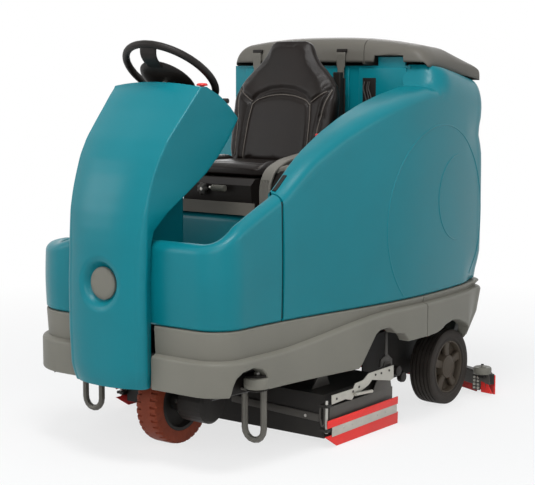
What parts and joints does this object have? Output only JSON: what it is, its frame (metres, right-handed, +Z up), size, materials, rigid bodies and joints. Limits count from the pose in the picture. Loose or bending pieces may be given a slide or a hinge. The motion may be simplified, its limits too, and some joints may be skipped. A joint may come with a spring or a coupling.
{
  "type": "ride-on floor scrubber",
  "caption": "Ride-on battery floor scrubber with driver's seat, steered front drive wheel, brush head under the body and a bowed vacuum squeegee behind.",
  "frame": {"origin": "on the floor under the middle of the machine's length and width", "axes": "+Z up, -Y is the driving direction (front), +X is the driver's left"},
  "size_m": [1.178, 1.91, 1.4749],
  "materials": {
    "teal_plastic": "moulded polyethylene, satin",
    "grey_plastic": "moulded grey plastic, fine grain",
    "black_plastic": "black moulded plastic, fine grain",
    "battery_case": "plain black battery cases",
    "plain_steel": "zinc plated steel",
    "black_steel": "black powder coat",
    "grey_steel": "grey powder coat",
    "seat_vinyl": "black vinyl with piping",
    "tyre_rubber": "solid rubber",
    "drive_tyre": "dark red polyurethane",
    "red_blade": "red polyurethane blade",
    "floor_mat": "ribbed black rubber",
    "bristles": "nylon bristles",
    "red_plastic": "red moulded plastic"
  },
  "bodies": {
    "chassis": {"main_frame": "black_steel", "left_tie_down": "plain_steel", "right_tie_down": "plain_steel", "left_skirt": "grey_plastic", "right_skirt": "grey_plastic", "rear_skirt": "grey_plastic", "battery_pack": "battery_case", "vacuum_fan": "black_plastic", "front_shell": "teal_plastic", "solution_tank": "teal_plastic", "recovery_tank": "teal_plastic", "front_shroud": "teal_plastic", "badge_dish": "teal_plastic", "round_badge": "grey_plastic", "floor_plate": "floor_mat", "column_cover": "teal_plastic", "side_console": "black_plastic", "belt_buckle": "red_plastic", "instrument_panel": "black_plastic", "steering_column": "black_steel"},
    "steering_wheel": {"steering_wheel": "black_plastic"},
    "stop_button": {"stop_button": "red_plastic"},
    "direction_lever": {"direction_lever": "black_plastic"},
    "throttle_pedal": {"throttle_pedal": "black_plastic"},
    "brake_pedal": {"brake_pedal": "black_plastic"},
    "drive_unit": {"steering_fork": "black_steel", "drive_motor": "black_steel"},
    "drive_wheel": {"drive_tyre": "drive_tyre", "drive_rim": "black_steel"},
    "left_rear_wheel": {"left_rear_tyre": "tyre_rubber", "left_rear_rim": "grey_plastic"},
    "right_rear_wheel": {"right_rear_tyre": "tyre_rubber", "right_rear_rim": "grey_plastic"},
    "left_corner_roller": {"left_corner_roller": "grey_plastic"},
    "right_corner_roller": {"right_corner_roller": "grey_plastic"},
    "seat_deck": {"seat_deck": "grey_steel", "belt_post": "black_plastic"},
    "seat": {"seat_base": "black_steel", "seat_cushion": "seat_vinyl"},
    "backrest": {"seat_backrest": "seat_vinyl"},
    "seat_knob": {"seat_knob": "black_plastic"},
    "seat_lever": {"seat_lever": "grey_plastic"},
    "recovery_lid": {"recovery_lid": "grey_plastic"},
    "solution_lid": {"solution_lid": "grey_plastic"},
    "left_latch": {"left_latch": "black_plastic"},
    "right_latch": {"right_latch": "black_plastic"},
    "lift_arm": {"lift_arm": "black_steel"},
    "scrub_head": {"scrub_head": "black_steel"},
    "front_brush": {"front_brush": "bristles"},
    "rear_brush": {"rear_brush": "bristles"},
    "left_side_squeegee": {"left_side_arm": "plain_steel", "left_side_blade": "red_blade"},
    "right_side_squeegee": {"right_side_arm": "plain_steel", "right_side_blade": "red_blade"},
    "squeegee_arm": {"squeegee_arm": "black_steel"},
    "squeegee": {"squeegee_frame": "black_steel", "rear_blade": "red_blade", "front_blade": "red_blade"},
    "left_squeegee_roller": {"left_squeegee_roller": "grey_plastic"},
    "right_squeegee_roller": {"right_squeegee_roller": "grey_plastic"}
  },
  "joints": [
    {"name": "drive_steer", "type": "hinge", "parent": "chassis", "child": "drive_unit", "pos_m": [0, -0.573, 0.153], "axis": [0, 0, 1], "range_deg": [-81, 81]},
    {"name": "steering_turn", "type": "hinge", "parent": "chassis", "child": "steering_wheel", "pos_m": [0, -0.573, 1.33], "axis": [0, 0.6018, 0.7986], "range_deg": [-270, 270]},
    {"name": "drive_spin", "type": "hinge", "parent": "drive_unit", "child": "drive_wheel", "pos_m": [0, -0.573, 0.153], "axis": [1, 0, 0], "continuous": true},
    {"name": "left_wheel_spin", "type": "hinge", "parent": "chassis", "child": "left_rear_wheel", "pos_m": [0.46, 0.537, 0.153], "axis": [1, 0, 0], "continuous": true},
    {"name": "right_wheel_spin", "type": "hinge", "parent": "chassis", "child": "right_rear_wheel", "pos_m": [-0.46, 0.537, 0.153], "axis": [1, 0, 0], "continuous": true},
    {"name": "left_corner_roller_spin", "type": "hinge", "parent": "chassis", "child": "left_corner_roller", "pos_m": [0.44, -0.645, 0.2925], "axis": [0, 0, 1], "continuous": true},
    {"name": "right_corner_roller_spin", "type": "hinge", "parent": "chassis", "child": "right_corner_roller", "pos_m": [-0.44, -0.645, 0.2925], "axis": [0, 0, 1], "continuous": true},
    {"name": "throttle_press", "type": "hinge", "parent": "chassis", "child": "throttle_pedal", "pos_m": [-0.2575, -0.66, 0.507], "axis": [1, 0, 0], "range_deg": [0, 12], "stiffness_Nm_per_rad": 6, "springref_deg": -8.59},
    {"name": "brake_press", "type": "hinge", "parent": "chassis", "child": "brake_pedal", "pos_m": [-0.1575, -0.66, 0.507], "axis": [1, 0, 0], "range_deg": [0, 12], "stiffness_Nm_per_rad": 6, "springref_deg": -8.59},
    {"name": "stop_press", "type": "slide", "parent": "chassis", "child": "stop_button", "axis": [0, 0, -1], "range_m": [0, 0.005], "stiffness_N_per_m": 600, "springref_m": -0.002},
    {"name": "direction_flip", "type": "hinge", "parent": "chassis", "child": "direction_lever", "pos_m": [0.16, -0.5, 1.2345], "axis": [1, 0, 0], "range_deg": [-15, 15]},
    {"name": "deck_tilt", "type": "hinge", "parent": "chassis", "child": "seat_deck", "pos_m": [0, -0.385, 0.823], "axis": [1, 0, 0], "range_deg": [0, 45]},
    {"name": "seat_slide", "type": "slide", "parent": "seat_deck", "child": "seat", "axis": [0, 1, 0], "range_m": [-0.05, 0.04]},
    {"name": "back_recline", "type": "hinge", "parent": "seat", "child": "backrest", "pos_m": [0, 0.06, 0.985], "axis": [1, 0, 0], "range_deg": [-5, 5]},
    {"name": "knob_turn", "type": "hinge", "parent": "seat", "child": "seat_knob", "pos_m": [-0.054, -0.3275, 0.905], "axis": [0, 1, 0], "range_deg": [-360, 360]},
    {"name": "slide_lever_lift", "type": "hinge", "parent": "seat", "child": "seat_lever", "pos_m": [-0.01, -0.33, 0.912], "axis": [0, -1, 0], "range_deg": [0, 20], "stiffness_Nm_per_rad": 0.5, "springref_deg": -11.46},
    {"name": "recovery_lid_open", "type": "hinge", "parent": "chassis", "child": "recovery_lid", "pos_m": [-0.15, 0.775, 1.318], "axis": [-1, 0, 0], "range_deg": [0, 100]},
    {"name": "solution_lid_open", "type": "hinge", "parent": "chassis", "child": "solution_lid", "pos_m": [0.34, 0.775, 1.318], "axis": [-1, 0, 0], "range_deg": [0, 100]},
    {"name": "left_latch_release", "type": "hinge", "parent": "chassis", "child": "left_latch", "pos_m": [0.111, 0.346, 1.314], "axis": [1, 0, 0], "range_deg": [0, 40]},
    {"name": "right_latch_release", "type": "hinge", "parent": "chassis", "child": "right_latch", "pos_m": [-0.312, 0.346, 1.314], "axis": [1, 0, 0], "range_deg": [0, 40]},
    {"name": "head_lift", "type": "hinge", "parent": "chassis", "child": "lift_arm", "pos_m": [0, 0.24, 0.285], "axis": [-1, 0, 0], "range_deg": [0, 13]},
    {"name": "head_level", "type": "hinge", "parent": "lift_arm", "child": "scrub_head", "pos_m": [0, -0.095, 0.222], "axis": [-1, 0, 0], "range_deg": [-13, 0]},
    {"name": "front_brush_spin", "type": "hinge", "parent": "scrub_head", "child": "front_brush", "pos_m": [0, -0.189, 0.0875], "axis": [1, 0, 0], "continuous": true},
    {"name": "rear_brush_spin", "type": "hinge", "parent": "scrub_head", "child": "rear_brush", "pos_m": [0, -0.001, 0.0875], "axis": [1, 0, 0], "continuous": true},
    {"name": "left_side_swing", "type": "hinge", "parent": "scrub_head", "child": "left_side_squeegee", "pos_m": [0.5, -0.318, 0.1], "axis": [0, 0, -1], "range_deg": [0, 100]},
    {"name": "right_side_swing", "type": "hinge", "parent": "scrub_head", "child": "right_side_squeegee", "pos_m": [-0.5, -0.318, 0.1], "axis": [0, 0, 1], "range_deg": [0, 100]},
    {"name": "squeegee_lift", "type": "hinge", "parent": "chassis", "child": "squeegee_arm", "pos_m": [0, 0.69, 0.27], "axis": [1, 0, 0], "range_deg": [0, 12]},
    {"name": "squeegee_yaw", "type": "hinge", "parent": "squeegee_arm", "child": "squeegee", "pos_m": [0, 0.735, 0.1], "axis": [0, 0, 1], "range_deg": [-4, 4]},
    {"name": "left_squeegee_roller_spin", "type": "hinge", "parent": "squeegee", "child": "left_squeegee_roller", "pos_m": [0.551, 0.735, 0.11], "axis": [0, 0, 1], "continuous": true},
    {"name": "right_squeegee_roller_spin", "type": "hinge", "parent": "squeegee", "child": "right_squeegee_roller", "pos_m": [-0.551, 0.735, 0.11], "axis": [0, 0, 1], "continuous": true}
  ],
  "couplings": [
    {"joint": "steering_turn", "follows": "drive_steer", "ratio": 3.3333},
    {"joint": "head_level", "follows": "head_lift", "ratio": -1}
  ]
}
